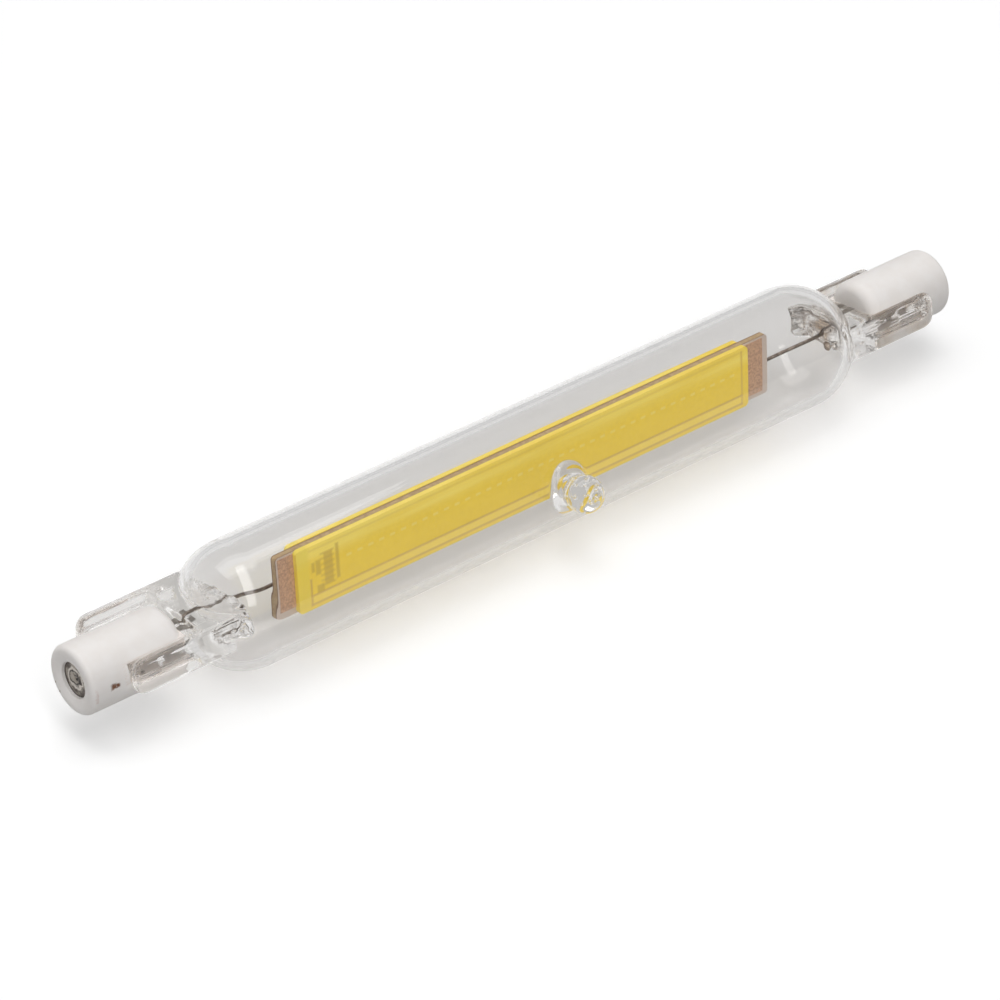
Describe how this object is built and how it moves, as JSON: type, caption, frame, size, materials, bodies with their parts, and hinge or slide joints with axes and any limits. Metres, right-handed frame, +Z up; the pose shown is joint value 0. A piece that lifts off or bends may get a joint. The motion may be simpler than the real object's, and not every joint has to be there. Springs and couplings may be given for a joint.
{
  "type": "linear led bulb",
  "caption": "Double-ended linear LED lamp: a sealed glass tube over a yellow phosphor light board, with pinched flat ends and ceramic caps over recessed contacts.",
  "frame": {"origin": "on the axis of the glass tube, midway between the two contacts", "axes": "+X along the lamp to the right-hand contact, +Z up as the lamp lies on its tube, -Y to the front face of the light board and the exhaust tip"},
  "size_m": [0.1152, 0.0179, 0.0136],
  "materials": {
    "glass": "polished",
    "ceramic": "matte",
    "cement": "matte",
    "contact_metal": "satin",
    "foil_metal": "satin",
    "lead_metal": "satin",
    "solder": "gloss",
    "board_laminate": "satin",
    "copper": "satin",
    "chip": "gloss",
    "driver_moulding": "matte",
    "phosphor": "satin"
  },
  "bodies": {
    "root": {"glass_envelope": "glass", "end_cap_left": "ceramic", "end_cap_right": "ceramic", "cement_left": "cement", "cement_right": "cement", "contact_left": "contact_metal", "contact_right": "contact_metal", "foil_left": "foil_metal", "foil_right": "foil_metal", "lead_wire_left": "lead_metal", "lead_wire_right": "lead_metal", "outer_lead_left": "lead_metal", "outer_lead_right": "lead_metal", "solder_joint_left": "solder", "solder_joint_right": "solder", "board": "board_laminate", "pad_front_left": "copper", "pad_front_right": "copper", "pad_back_left": "copper", "pad_back_right": "copper", "track_front": "copper", "track_back": "copper", "led_chips_front": "chip", "led_chips_back": "chip", "driver_ic": "driver_moulding", "rectifier": "driver_moulding", "shunt_resistor": "driver_moulding", "input_resistor": "driver_moulding", "smoothing_capacitor": "driver_moulding", "phosphor_front": "phosphor", "phosphor_back": "phosphor"}
  },
  "joints": []
}
